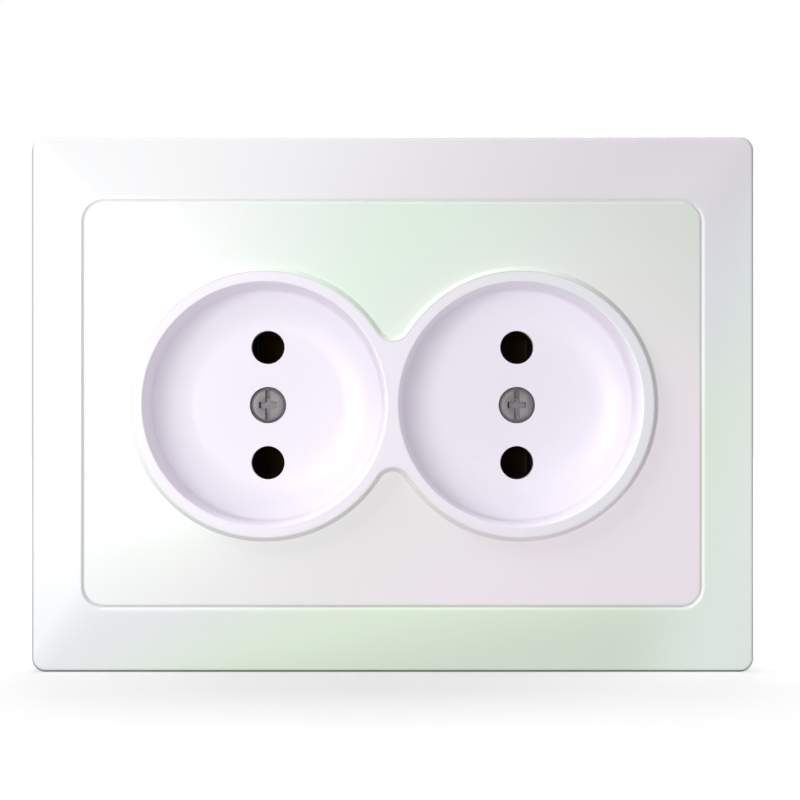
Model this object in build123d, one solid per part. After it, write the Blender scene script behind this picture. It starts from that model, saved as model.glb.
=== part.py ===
from build123d import *
from math import atan2, cos, degrees, radians, sqrt
import os

# Flush double wall socket without earth contacts.
# Sizes are in millimetres. Every piece is drawn with the socket lying on its back:
# x to the right, y up the wall, z out of the wall, with the wall's surface at z = 0.
# The pieces are stood upright when they are written, so that the room is at -Y and up is +Z.

# Surround frame
frame_width = 116.0
frame_height = 86.0
frame_round = 2.2
frame_wall = 1.8
frame_skin = 2.0
frame_fall = 0.6
frame_edge_round = 0.6
side_bar = 8.5
top_bar = 10.55
window_round = 3.2
window_land = 0.8
window_bevel = 0.5
window_bevel_depth = 0.3
ledge_width = 2.0
ledge_round = 1.9
moulded_corner = 0.4
skirt_clearance = 4.5
frame_rib = 1.2
frame_rib_columns = (-42.0, -14.0, 14.0, 42.0)
frame_rib_rows = (-16.0, 16.0)

# Cover plate
plate_gap = 0.04
plate_thickness = 2.0
plate_edge_round = 0.25
plate_rib = 1.2
plate_rib_height = 3.0
plate_rib_gap = 0.2
rim_height = 1.0
rim_slope = 0.65
rim_land = 0.1
collar_seam = 0.03
waist_round = 2.92

# Double well moulding
well_pitch = 41.0
mouth_diameter = 39.1
mouth_round = 0.2
well_depth = 10.0
well_draft = 0.6
dish_rise = 1.8
crease_round = 0.8
floor_flat_diameter = 24.8
floor_thickness = 1.8
floor_gap = 0.4
cup_wall = 1.0
cup_foot_round = 2.0
cup_clearance = 0.1
collar_width = 1.7
flange_thickness = 1.2
boss_wall = 0.7
boss_clearance = 0.2

# Plug that the wells take
pin_pitch = 19.0
pin_length = 19.0
pin_hole_diameter = 5.5
pin_tip_gap = 0.8

# Clearances of screws in plain and tapped holes, and the bevel at the shank's end
hole_clearance = 0.2
thread_clearance = 0.05
shank_point = 0.5

# Cover screws and their nuts
cover_screw_diameter = 3.0
cover_screw_length = 16.0
cover_head_diameter = 5.8
cover_head_height = 1.9
cover_head_recess = 0.2
cover_head_bevel = 0.45
cover_slot_width = 0.9
cover_slot_depth = 0.6
cover_cross_length = 2.9
head_clearance = 0.1
nut_side = 5.5
nut_height = 2.4
nut_clearance = 0.1

# Steel mounting strap
strap_width = 72.0
strap_height = 62.0
strap_round = 9.0
strap_thickness = 1.0
strap_clearance = 0.2
box_screw_pitch = 60.0
box_slot_width = 4.2
box_slot_length = 6.4

# Base block and its lid
base_wall = 1.6
base_floor = 2.0
base_end_wall = 1.4
base_shoulder = 1.6
base_round = 1.5
base_core_width = 10.0
base_core_height = 7.0
base_core_depth = 12.0
lid_thickness = 2.0
lid_lap_side = 1.2
lid_lap_top = 2.0
lid_round = 2.0
lid_edge = 0.5
rivet_pitch = 20.0
rivet_diameter = 3.0
rivet_head_diameter = 5.6
rivet_head_height = 0.7
rivet_recess_gap = 0.1

# Contact strips
contact_thickness = 0.7
clip_length = 5.4
clip_spread = 3.0
clip_grip = 3.6
clip_mouth = 6.2
clip_bend = 0.8
clip_top_gap = 3.0
clip_grip_depth = 7.5
clip_knee_height = 3.5
channel_clearance = 0.55
channel_end_gap = 0.4

# Terminals
terminal_pitch = 26.0
terminal_depth = 9.0
terminal_screw_diameter = 3.5
terminal_screw_length = 6.0
terminal_head_diameter = 6.0
terminal_head_height = 1.8
terminal_slot_width = 1.0
terminal_slot_depth = 0.9
tab_width = 8.0
tab_margin = 4.4
clamp_side = 8.0
clamp_thickness = 1.2
clamp_lip = 0.9
clamp_lip_thickness = 1.0
clamp_window_gap = 0.7
wire_gap = 1.35

# Spreader claws and their screws
claw_thickness = 1.5
claw_width = 12.0
claw_bend = 0.8
claw_gap = 1.2
claw_level = 4.5
claw_arm_length = 12.5
claw_hook_reach = 3.4
claw_hook_drop = 1.6
claw_slot_width = 3.6
claw_slot_length = 4.8
claw_slot_shift = 0.4
claw_lug_margin = 1.0
claw_teeth = 3
claw_tooth_depth = 1.3
claw_side_gap = 0.3
claw_pivot_diameter = 1.2
ear_clearance = 0.05
ear_round = 2.0
claw_screw_offset = 5.4
claw_screw_diameter = 3.0
claw_screw_length = 12.5
claw_head_diameter = 5.6
claw_head_height = 2.2
claw_slot_cut_width = 0.9
claw_slot_cut_depth = 1.0

# Levels above the wall
base_front = strap_thickness
lid_front = strap_thickness + lid_thickness
floor_back = lid_front + floor_gap
floor_front = floor_back + floor_thickness
collar_front = floor_front + well_depth
plate_front = collar_front - rim_height
plate_back = plate_front - plate_thickness
frame_edge_level = plate_front - frame_fall
flange_back = collar_front - flange_thickness
head_top = floor_front - cover_head_recess
head_seat = head_top - cover_head_height
screw_tip = head_seat - cover_screw_length
strip_top = floor_front - pin_length - pin_tip_gap
strip_bottom = strip_top - contact_thickness
base_back = strip_bottom - base_floor

# Widths, radii and half sizes that several pieces share
window_width = frame_width - 2 * side_bar
window_height = frame_height - 2 * top_bar
well_offset = well_pitch / 2
pole_offset = pin_pitch / 2
mouth_radius = mouth_diameter / 2
flange_radius = mouth_radius + collar_width
rebate_radius = flange_radius + collar_seam
rim_top_radius = rebate_radius + rim_land
rim_base_radius = rim_top_radius + rim_slope
cup_radius = mouth_radius + cup_wall
plate_opening_radius = cup_radius + cup_clearance
counterbore_radius = cover_head_diameter / 2 + head_clearance
boss_radius = counterbore_radius + boss_wall
channel_half = clip_spread + contact_thickness / 2 + channel_clearance
channel_length = well_pitch + clip_length + 2 * channel_end_gap
base_front_width = channel_length + 2 * base_end_wall
base_width = base_front_width + 2 * base_shoulder
base_half_height = pole_offset + channel_half + base_wall
tab_face = pole_offset + clip_spread + contact_thickness / 2
clamp_inside = tab_face + wire_gap
clamp_outside = clamp_inside + clamp_thickness
claw_arm = base_half_height + claw_gap + claw_thickness / 2
claw_bend_shift = claw_bend * (1 - cos(radians(45)))
claw_pivot = claw_arm + claw_bend_shift
claw_pivot_level = -claw_level - claw_bend_shift
claw_screw_row = claw_pivot + claw_screw_offset
ear_inside = claw_width / 2 + claw_side_gap


def slab(width, height, rounding, low, high):
    outline = RectangleRounded(width, height, rounding)
    return extrude(Pos(0, 0, low) * outline, high - low)


def block(x_range, y_range, z_range):
    sides = [high - low for low, high in (x_range, y_range, z_range)]
    middle = [(high + low) / 2 for low, high in (x_range, y_range, z_range)]
    return Pos(*middle) * Box(*sides)


def rod(x, y, radius, low, high):
    return Pos(x, y, (low + high) / 2) * Cylinder(radius, high - low)


def eight_outline(radius, level):
    # Two circles round the well axes, joined by two concave arcs that touch both.
    waist = waist_round + rim_top_radius - radius
    reach = sqrt((radius + waist) ** 2 - well_offset**2)
    share = radius / (radius + waist)
    x = well_offset * (1 - share)
    y = reach * share
    sides = [
        ThreePointArc((x, -y), (well_offset + radius, 0), (x, y)),
        ThreePointArc((x, y), (0, reach - waist), (-x, y)),
        ThreePointArc((-x, y), (-well_offset - radius, 0), (-x, -y)),
        ThreePointArc((-x, -y), (0, waist - reach), (x, -y)),
    ]
    return Pos(0, 0, level) * make_face(sides)


def eight_prism(radius, low, high):
    return extrude(eight_outline(radius, low), high - low)


def well_places():
    return [(-well_offset, 0), (well_offset, 0)]


def pin_places():
    return [(x, y) for x in (-well_offset, well_offset) for y in (-pole_offset, pole_offset)]


def screw(diameter, length, head_diameter, head_height, bevel):
    # The head's underside is at z = 0 and the shank points down.
    head = rod(0, 0, head_diameter / 2, 0, head_height)
    head = chamfer(head.edges().group_by(Axis.Z)[-1], bevel)
    shank = rod(0, 0, diameter / 2, -length, 0)
    shank = chamfer(shank.edges().group_by(Axis.Z)[0], shank_point)
    return head + shank


def cross_hole(radius, thickness):
    # A cut along y that goes well through a sheet of this thickness.
    return Rot(X=90) * Cylinder(radius, 2 * thickness)


def slot_cut(length, width, depth, top):
    return block((-width / 2, width / 2), (-length / 2, length / 2), (top - depth, top + depth))


# Surround frame: ring whose front falls to its edge, with a hollow back and a ledge for the cover plate


def make_frame():
    land_width = window_width + 2 * window_land
    land_height = window_height + 2 * window_land
    outside = RectangleRounded(frame_width, frame_height, frame_round)
    land = RectangleRounded(land_width, land_height, window_round + window_land)
    body = extrude(outside, frame_edge_level)
    body += loft([Pos(0, 0, frame_edge_level) * outside, Pos(0, 0, plate_front) * land])
    # From the back there are the back edges, the uprights and then the outer edge.
    outer_edge = body.edges().group_by(Axis.Z)[2]
    body = fillet(outer_edge, frame_edge_round)
    body -= slab(window_width, window_height, window_round, plate_back, plate_front + frame_fall)
    bevel_foot = Pos(0, 0, plate_front - window_bevel_depth) * RectangleRounded(
        window_width, window_height, window_round
    )
    bevel_angle = degrees(atan2(window_bevel, window_bevel_depth))
    body -= extrude(bevel_foot, 2 * window_bevel_depth, taper=-bevel_angle)
    inner_width = window_width - 2 * ledge_width
    inner_height = window_height - 2 * ledge_width
    body -= slab(inner_width, inner_height, ledge_round, 0, plate_back)

    hollow_top = frame_edge_level - frame_skin
    hollow_width = frame_width - 2 * frame_wall
    hollow_height = frame_height - 2 * frame_wall
    hollow = slab(hollow_width, hollow_height, moulded_corner, 0, hollow_top)
    skirt_width = inner_width + 2 * frame_wall
    skirt_height = inner_height + 2 * frame_wall
    skirt_round = ledge_round + frame_wall
    hollow -= slab(skirt_width, skirt_height, skirt_round, skirt_clearance, hollow_top)
    ribs = Part()
    for x in frame_rib_columns:
        ribs += block(
            (x - frame_rib / 2, x + frame_rib / 2),
            (-hollow_height / 2, hollow_height / 2),
            (skirt_clearance, hollow_top),
        )
    for y in frame_rib_rows:
        ribs += block(
            (-hollow_width / 2, hollow_width / 2),
            (y - frame_rib / 2, y + frame_rib / 2),
            (skirt_clearance, hollow_top),
        )
    return body - (hollow - ribs)


# Cover plate: flat plate with a raised bevelled rim round the figure-eight opening


def make_cover_plate():
    width = window_width - 2 * plate_gap
    height = window_height - 2 * plate_gap
    rounding = window_round - plate_gap
    plate = slab(width, height, rounding, plate_back, plate_front)
    plate = fillet(plate.edges().group_by(Axis.Z)[-1], plate_edge_round)
    rim_angle = degrees(atan2(rim_slope, rim_height))
    plate += extrude(eight_outline(rim_base_radius, plate_front), rim_height, taper=rim_angle)

    rib_width = window_width - 2 * ledge_width - 2 * plate_rib_gap
    rib_height = window_height - 2 * ledge_width - 2 * plate_rib_gap
    rib_end = plate_back - plate_rib_height
    rib = slab(rib_width, rib_height, ledge_round - plate_rib_gap, rib_end, plate_back)
    hole_width = rib_width - 2 * plate_rib
    hole_height = rib_height - 2 * plate_rib
    rib -= slab(hole_width, hole_height, moulded_corner, rib_end, plate_back)
    plate += rib
    plate -= eight_prism(plate_opening_radius, rib_end, collar_front)
    return plate - eight_prism(rebate_radius, flange_back, collar_front)


# Double well moulding: two dished cups hung from one flat collar


def well_space():
    wall_top = collar_front - mouth_round
    crease_radius = mouth_radius - well_draft
    crease_level = floor_front + dish_rise
    flat_radius = floor_flat_diameter / 2
    mouth_edge = mouth_radius + mouth_round
    above = collar_front + mouth_round
    outline = [
        Line((0, floor_front), (flat_radius, floor_front)),
        TangentArc((flat_radius, floor_front), (crease_radius, crease_level), tangent=(1, 0)),
        Line((crease_radius, crease_level), (mouth_radius, wall_top)),
        CenterArc((mouth_edge, wall_top), mouth_round, 90, 90),
        Line((mouth_edge, collar_front), (mouth_edge, above)),
        Line((mouth_edge, above), (0, above)),
        Line((0, above), (0, floor_front)),
    ]
    section = make_face(outline)
    crease = section.vertices().sort_by_distance((crease_radius, crease_level))[0]
    section = fillet(crease, crease_round)
    return revolve(Plane.XZ * section, Axis.Z)


def make_socket_insert():
    body = eight_prism(flange_radius, flange_back, collar_front)
    space = well_space()
    for x, y in well_places():
        cup = rod(x, y, cup_radius, floor_back, collar_front - flange_thickness / 2)
        cup = fillet(cup.edges().group_by(Axis.Z)[0], cup_foot_round)
        body += cup
        body += rod(x, y, boss_radius, base_front, floor_front)
    for x, y in well_places():
        body -= Pos(x, y, 0) * space
        body -= rod(x, y, counterbore_radius, head_seat, floor_front)
        body -= rod(x, y, cover_screw_diameter / 2 + hole_clearance, base_front, head_seat)
    for x, y in pin_places():
        body -= rod(x, y, pin_hole_diameter / 2, floor_back, floor_front)
    return body


def make_cover_screws():
    one = screw(
        cover_screw_diameter, cover_screw_length, cover_head_diameter, cover_head_height, cover_head_bevel
    )
    one -= slot_cut(cover_head_diameter, cover_slot_width, cover_slot_depth, cover_head_height)
    one -= Rot(Z=90) * slot_cut(cover_cross_length, cover_slot_width, cover_slot_depth, cover_head_height)
    return [Pos(x, y, head_seat) * one for x, y in well_places()]


def make_cover_nuts():
    nuts = []
    for x, y in well_places():
        half = nut_side / 2
        nut = block((x - half, x + half), (y - half, y + half), (screw_tip, screw_tip + nut_height))
        nut -= rod(x, y, cover_screw_diameter / 2 + thread_clearance, screw_tip, screw_tip + nut_height)
        nuts.append(nut)
    return nuts


# Steel strap: flat plate round the base, with slots for the box screws and bent ears for the claws


def claw_ears():
    ears = Part()
    for x in (ear_inside, -ear_inside - strap_thickness):
        across = (x, x + strap_thickness)
        leg = block(across, (claw_pivot - ear_round, claw_pivot + ear_round), (claw_pivot_level, 0))
        middle = Pos(x + strap_thickness / 2, claw_pivot, claw_pivot_level) * Rot(Y=90)
        leg += middle * Cylinder(ear_round, strap_thickness)
        leg -= middle * Cylinder(claw_pivot_diameter / 2 + ear_clearance, strap_thickness)
        ears += leg
    return ears


def make_mounting_strap():
    strap = slab(strap_width, strap_height, strap_round, 0, strap_thickness)
    opening_width = base_front_width + 2 * strap_clearance
    opening_height = 2 * base_half_height + 2 * strap_clearance
    strap -= slab(opening_width, opening_height, base_round, 0, strap_thickness)
    slot = extrude(SlotOverall(box_slot_length, box_slot_width), strap_thickness)
    for side in (-1, 1):
        strap -= Pos(side * box_screw_pitch / 2, 0, 0) * slot
    for turn in (0, 180):
        fitting = block(
            (-ear_inside, ear_inside), (0, claw_pivot + ear_round + claw_side_gap), (0, strap_thickness)
        )
        fitting += rod(0, claw_screw_row, claw_screw_diameter / 2 + hole_clearance, 0, strap_thickness)
        strap -= Rot(Z=turn) * fitting
        strap += Rot(Z=turn) * claw_ears()
    return strap


# Base block, its lid and the rivets that hold them together


def terminal_places():
    return [(x, y) for y in (1, -1) for x in (-terminal_pitch / 2, terminal_pitch / 2)]


def make_base():
    base = slab(base_width, 2 * base_half_height, base_round, base_back, 0)
    base += slab(base_front_width, 2 * base_half_height, base_round, 0, base_front)
    half_window = clamp_side / 2 + clamp_window_gap
    for side in (-1, 1):
        middle = side * pole_offset
        base -= block(
            (-channel_length / 2, channel_length / 2),
            (middle - channel_half, middle + channel_half),
            (strip_bottom, base_front),
        )
    for x, side in terminal_places():
        wall = sorted((side * (base_half_height - base_wall), side * base_half_height))
        base -= block((x - half_window, x + half_window), wall, (base_back, half_window - terminal_depth))
    half_nut = nut_side / 2 + nut_clearance
    pocket = (base_back, screw_tip + nut_height)
    for x, y in well_places():
        base -= rod(x, y, cover_screw_diameter / 2 + thread_clearance, base_back, base_front)
        base -= block((x - half_nut, x + half_nut), (y - half_nut, y + half_nut), pocket)
    recess = rivet_head_height + rivet_recess_gap
    for x in (-rivet_pitch / 2, rivet_pitch / 2):
        base -= rod(x, 0, rivet_diameter / 2 + thread_clearance, base_back, base_front)
        base -= rod(x, 0, rivet_head_diameter / 2 + head_clearance, base_back, base_back + recess)
    core = slab(base_core_width, base_core_height, base_round, base_back, base_back + base_core_depth)
    return base - core


def make_contact_lid():
    width = base_front_width + 2 * lid_lap_side
    height = 2 * (base_half_height + lid_lap_top)
    lid = slab(width, height, lid_round, strap_thickness, lid_front)
    lid = chamfer(lid.edges().group_by(Axis.Z)[-1], lid_edge)
    for x, y in pin_places():
        lid -= rod(x, y, pin_hole_diameter / 2, strap_thickness, lid_front)
    for x, y in well_places():
        lid -= rod(x, y, boss_radius + boss_clearance, strap_thickness, lid_front)
    recess = rivet_head_height + rivet_recess_gap
    for x in (-rivet_pitch / 2, rivet_pitch / 2):
        lid -= rod(x, 0, rivet_diameter / 2 + thread_clearance, strap_thickness, lid_front)
        lid -= rod(x, 0, rivet_head_diameter / 2 + head_clearance, lid_front - recess, lid_front)
    return lid


def make_rivets():
    recess = rivet_head_height + rivet_recess_gap
    front = lid_front - recess
    back = base_back + recess
    rivets = []
    for x in (-rivet_pitch / 2, rivet_pitch / 2):
        rivet = rod(x, 0, rivet_diameter / 2, back, front)
        rivet += rod(x, 0, rivet_head_diameter / 2, front, front + rivet_head_height)
        rivet += rod(x, 0, rivet_head_diameter / 2, back - rivet_head_height, back)
        rivets.append(rivet)
    return rivets


# Contact strips, one for each pole: two spring clips and two terminal tabs on one strip


def clip_profile():
    grip = (clip_grip + contact_thickness) / 2
    mouth = (clip_mouth + contact_thickness) / 2
    top = base_front - clip_top_gap
    grip_level = base_front - clip_grip_depth
    strip_middle = strip_top - contact_thickness / 2
    knee = strip_middle + clip_knee_height
    half = [(clip_spread, strip_middle), (clip_spread, knee), (grip, grip_level), (mouth, top)]
    path = [(-y, z) for y, z in reversed(half)] + half
    return trace(FilletPolyline(path, radius=clip_bend), contact_thickness)


def make_upper_contact():
    clip = extrude(Plane.YZ * clip_profile(), clip_length / 2, both=True)
    half_length = well_offset + clip_length / 2
    outer = pole_offset + clip_spread
    inner = pole_offset - clip_spread
    contact = block((-half_length, half_length), (inner, outer), (strip_bottom, strip_top))
    for x, y in well_places():
        contact += Pos(x, pole_offset, 0) * clip
    for x in (-terminal_pitch / 2, terminal_pitch / 2):
        contact += block(
            (x - tab_width / 2, x + tab_width / 2),
            (tab_face - contact_thickness, tab_face),
            (strip_bottom, tab_margin - terminal_depth),
        )
        tab_middle = tab_face - contact_thickness / 2
        hole = cross_hole(terminal_screw_diameter / 2 + thread_clearance, contact_thickness)
        contact -= Pos(x, tab_middle, -terminal_depth) * hole
    return contact


def terminal_clamp():
    # The wire side is at y = 0 and the lips reach inwards over the wire.
    half = clamp_side / 2
    plate = block((-half, half), (0, clamp_thickness), (-half, half))
    for low in (-half, half - clamp_lip_thickness):
        plate += block((low, low + clamp_lip_thickness), (-clamp_lip, 0), (-half, half))
    hole = cross_hole(terminal_screw_diameter / 2 + hole_clearance, clamp_thickness)
    return plate - Pos(0, clamp_thickness / 2, 0) * hole


def make_terminal_clamps():
    clamps = []
    for x, side in terminal_places():
        turn = Rot(Z=0 if side > 0 else 180)
        clamps.append(turn * Pos(side * x, clamp_inside, -terminal_depth) * terminal_clamp())
    return clamps


def make_terminal_screws():
    one = screw(
        terminal_screw_diameter,
        terminal_screw_length,
        terminal_head_diameter,
        terminal_head_height,
        terminal_slot_width / 2,
    )
    one -= slot_cut(terminal_head_diameter, terminal_slot_width, terminal_slot_depth, terminal_head_height)
    screws = []
    for x, side in terminal_places():
        turn = Rot(Z=0 if side > 0 else 180)
        screws.append(turn * Pos(side * x, clamp_outside, -terminal_depth) * Rot(X=-90) * one)
    return screws


# Spreader claws: bent strips that hinge in the strap's ears and are drawn outwards by their screws


def make_upper_claw():
    lug_end = claw_pivot + claw_screw_offset + claw_slot_shift + claw_slot_length / 2 + claw_lug_margin
    arm_end = -claw_level - claw_arm_length
    path = [
        (lug_end, -claw_level),
        (claw_arm, -claw_level),
        (claw_arm, arm_end),
        (claw_arm + claw_hook_reach, arm_end - claw_hook_drop),
    ]
    profile = trace(FilletPolyline(path, radius=claw_bend), claw_thickness)
    claw = extrude(Plane.YZ * profile, claw_width / 2, both=True)
    slot = extrude(SlotOverall(claw_slot_length, claw_slot_width), claw_thickness, both=True)
    slot_row = claw_screw_row + claw_slot_shift
    claw -= Pos(0, slot_row, -claw_level) * Rot(Z=90) * slot
    tooth_pitch = claw_width / claw_teeth
    tip = claw_arm + claw_hook_reach
    over = claw_thickness / 2
    corners = [(-tooth_pitch / 2, over), (0, -claw_tooth_depth), (tooth_pitch / 2, over)]
    notch = Polygon(*corners, align=None)
    notch = extrude(notch, 2 * claw_hook_drop + 2 * claw_thickness, both=True)
    for index in range(claw_teeth + 1):
        claw -= Pos((index - claw_teeth / 2) * tooth_pitch, tip, arm_end) * notch
    pivot_length = claw_width + 2 * (claw_side_gap + strap_thickness)
    pivot = Rot(Y=90) * Cylinder(claw_pivot_diameter / 2, pivot_length)
    return claw + Pos(0, claw_pivot, claw_pivot_level) * pivot


def make_upper_claw_screw():
    one = screw(
        claw_screw_diameter, claw_screw_length, claw_head_diameter, claw_head_height, claw_slot_cut_width / 2
    )
    one -= slot_cut(claw_head_diameter, claw_slot_cut_width, claw_slot_cut_depth, claw_head_height)
    return Pos(0, claw_screw_row, strap_thickness) * one


# The pieces, stood upright and written one file each


def write(name, solids):
    upright = [Rot(X=90) * solid for solid in solids]
    export_step(upright[0] if len(upright) == 1 else Compound(upright), f"parts/{name}.step")


os.makedirs("parts", exist_ok=True)
write("frame", [make_frame()])
write("cover_plate", [make_cover_plate()])
write("socket_insert", [make_socket_insert()])
write("cover_screws", make_cover_screws())
write("cover_nuts", make_cover_nuts())
write("mounting_strap", [make_mounting_strap()])
write("base", [make_base()])
write("contact_lid", [make_contact_lid()])
write("rivets", make_rivets())
upper_contact = make_upper_contact()
write("upper_contact", [upper_contact])
write("lower_contact", [Rot(Z=180) * upper_contact])
for number, clamp in enumerate(make_terminal_clamps(), start=1):
    write(f"terminal_clamp_{number}", [clamp])
write("terminal_screws", make_terminal_screws())
upper_claw = make_upper_claw()
write("upper_claw", [upper_claw])
write("lower_claw", [Rot(Z=180) * upper_claw])
upper_claw_screw = make_upper_claw_screw()
write("upper_claw_screw", [upper_claw_screw])
write("lower_claw_screw", [Rot(Z=180) * upper_claw_screw])
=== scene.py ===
import math

import bpy
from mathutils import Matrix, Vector


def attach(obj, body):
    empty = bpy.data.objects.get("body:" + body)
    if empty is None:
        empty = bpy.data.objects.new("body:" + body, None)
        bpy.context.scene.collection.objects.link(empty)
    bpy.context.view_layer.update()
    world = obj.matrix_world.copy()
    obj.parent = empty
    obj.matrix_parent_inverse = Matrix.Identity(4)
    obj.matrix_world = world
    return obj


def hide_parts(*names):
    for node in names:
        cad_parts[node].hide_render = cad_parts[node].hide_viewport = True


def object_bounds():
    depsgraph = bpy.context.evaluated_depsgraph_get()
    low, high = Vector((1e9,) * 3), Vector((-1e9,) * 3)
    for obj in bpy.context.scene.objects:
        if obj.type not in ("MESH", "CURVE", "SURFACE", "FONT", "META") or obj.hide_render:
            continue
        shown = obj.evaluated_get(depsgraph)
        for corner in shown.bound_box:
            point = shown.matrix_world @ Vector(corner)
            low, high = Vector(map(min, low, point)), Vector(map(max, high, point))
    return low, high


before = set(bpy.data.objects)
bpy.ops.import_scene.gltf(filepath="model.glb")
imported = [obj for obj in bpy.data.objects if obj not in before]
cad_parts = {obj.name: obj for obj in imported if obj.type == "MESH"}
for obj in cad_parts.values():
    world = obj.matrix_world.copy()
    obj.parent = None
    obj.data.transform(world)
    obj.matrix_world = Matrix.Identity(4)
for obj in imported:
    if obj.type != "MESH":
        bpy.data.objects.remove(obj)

cadLow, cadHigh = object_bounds()
wellAt = 0.0205                         # how far each well's middle is from the socket's
windowInner = (0.0463, 0, 0.02925)      # half size of the frame's window, inside its corner rounding
shown = dict(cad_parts)        # what is painted for each node: the CAD piece or its dressed stand-in
print("stage: frame loaded,", len(shown), "nodes")


# Modelling helpers

sameSpot = 0.000001        # corners nearer to each other than this become one


def focus(piece):
    if bpy.context.mode != "OBJECT":
        bpy.ops.object.mode_set(mode="OBJECT")
    bpy.ops.object.select_all(action="DESELECT")
    piece.select_set(True)
    bpy.context.view_layer.objects.active = piece


def addModifier(piece, kind, **values):
    focus(piece)
    bpy.ops.object.modifier_add(type=kind)
    modifier = piece.modifiers[-1]
    for key, value in values.items():
        setattr(modifier, key, value)
    bpy.ops.object.modifier_apply(modifier=modifier.name)


def selectWhere(piece, part, test):
    # In edit mode, picks the vertices or edges whose places pass a test
    bpy.ops.object.mode_set(mode="OBJECT")
    mesh = piece.data
    for items in (mesh.vertices, mesh.edges, mesh.polygons):
        for item in items:
            item.select = False
    if part == "vertices":
        for corner in mesh.vertices:
            corner.select = test(corner.co)
    else:
        for edge in mesh.edges:
            edge.select = all(test(mesh.vertices[index].co) for index in edge.vertices)
    bpy.ops.object.mode_set(mode="EDIT")
    bpy.ops.mesh.select_mode(type="VERT" if part == "vertices" else "EDGE")


def tidyNormals(piece):
    focus(piece)
    bpy.ops.object.mode_set(mode="EDIT")
    bpy.ops.mesh.select_all(action="SELECT")
    bpy.ops.mesh.normals_make_consistent(inside=False)
    bpy.ops.object.mode_set(mode="OBJECT")


def cut(piece, cutter):
    addModifier(piece, "BOOLEAN", operation="DIFFERENCE", solver="EXACT", object=cutter)
    bpy.data.objects.remove(cutter)


def boxCutter(size, middle):
    bpy.ops.mesh.primitive_cube_add(size=1, location=middle, scale=size)
    cutter = bpy.context.object
    bpy.ops.object.transform_apply(location=True, rotation=True, scale=True)
    return cutter


def joined(pieces, name):
    focus(pieces[0])
    for piece in pieces[1:]:
        piece.select_set(True)
    bpy.ops.object.join()
    piece = bpy.context.object
    piece.name = name
    return piece


def placedCopy(model, place, turn):
    piece = model.copy()
    piece.data = model.data.copy()
    bpy.context.scene.collection.objects.link(piece)
    piece.location = place
    piece.rotation_euler = turn
    focus(piece)
    bpy.ops.object.transform_apply(location=True, rotation=True, scale=True)
    return piece


def smooth(piece, angle):
    focus(piece)
    bpy.ops.object.shade_smooth_by_angle(angle=math.radians(angle))


def install(piece, body, slotName, *nodes):
    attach(piece, body)
    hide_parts(*nodes)
    for node in nodes:
        shown[node] = piece


# Screws: a turned head with its slot, on a shank with a cut thread

screwFinish = {
    "threadSteps": 20, "coreShare": 0.83, "tipShare": 0.78, "spareTurns": 3, "startTurns": 1.5,
    "mergeShare": 0.001, "tipBand": 0.01,       # shares of the thread's pitch
    "headSides": 64, "edge": 0.00006, "edgeSteps": 2, "edgeAngle": 40, "smoothAngle": 25,
}


def makeShank(spec):
    pitch, outer = spec["pitch"], spec["shankRadius"]
    core = outer * screwFinish["coreShare"]
    top = spec["headHeight"] / 2        # the shank ends inside the head
    turns = math.ceil((spec["length"] + top) / pitch) + screwFinish["spareTurns"]
    bpy.ops.mesh.primitive_plane_add(size=pitch)
    shank = bpy.context.object
    selectWhere(shank, "vertices", lambda place: place.x > 0 and place.y > 0)
    bpy.ops.mesh.delete(type="VERT")        # leaves two edges, one tooth of the thread
    bpy.ops.object.mode_set(mode="OBJECT")
    lowest = -spec["length"] - screwFinish["startTurns"] * pitch
    for corner in shank.data.vertices:
        if corner.co.x > 0:
            corner.co = (core, 0, lowest)
        elif corner.co.y > 0:
            corner.co = (core, 0, lowest + pitch)
        else:
            corner.co = (outer, 0, lowest + pitch / 2)
    addModifier(shank, "SCREW", axis="Z", angle=2 * math.pi, screw_offset=pitch, iterations=turns,
                steps=screwFinish["threadSteps"], render_steps=screwFinish["threadSteps"])
    addModifier(shank, "WELD", merge_threshold=pitch * screwFinish["mergeShare"])       # joins turn to turn
    for level, outside in ((-spec["length"], "low"), (top, "high")):
        focus(shank)
        bpy.ops.object.mode_set(mode="EDIT")
        bpy.ops.mesh.select_all(action="SELECT")
        bpy.ops.mesh.bisect(plane_co=(0, 0, level), plane_no=(0, 0, 1), use_fill=True,
                            clear_inner=outside == "low", clear_outer=outside == "high")
    selectWhere(shank, "vertices", lambda place: place.z < -spec["length"] + pitch * screwFinish["tipBand"])
    share = screwFinish["tipShare"]
    bpy.ops.transform.resize(value=(share, share, 1), center_override=(0, 0, -spec["length"]))
    tidyNormals(shank)
    return shank


def makeHead(spec):
    radius, height = spec["headRadius"], spec["headHeight"]
    bpy.ops.mesh.primitive_cylinder_add(vertices=screwFinish["headSides"], radius=radius, depth=height,
                                        location=(0, 0, height / 2))
    head = bpy.context.object
    bpy.ops.object.transform_apply(location=True, rotation=True, scale=True)
    selectWhere(head, "edges", lambda place: place.z > height / 2)
    bpy.ops.mesh.bevel(offset=spec["headBevel"], segments=spec["bevelSteps"], profile=spec["bevelProfile"])
    bpy.ops.object.mode_set(mode="OBJECT")
    cut(head, boxCutter((spec["slotWidth"], spec["slotLength"], 2 * spec["slotDepth"]), (0, 0, height)))
    if "armLength" in spec:
        cut(head, boxCutter((spec["armLength"], spec["armWidth"], 2 * spec["armDepth"]), (0, 0, height)))
    addModifier(head, "BEVEL", width=screwFinish["edge"], segments=screwFinish["edgeSteps"],
                limit_method="ANGLE", angle_limit=math.radians(screwFinish["edgeAngle"]))
    addModifier(head, "WELD", merge_threshold=sameSpot)
    return head


def makeScrew(spec, name):
    screw = joined([makeHead(spec), makeShank(spec)], name)
    smooth(screw, screwFinish["smoothAngle"])
    return screw


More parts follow.
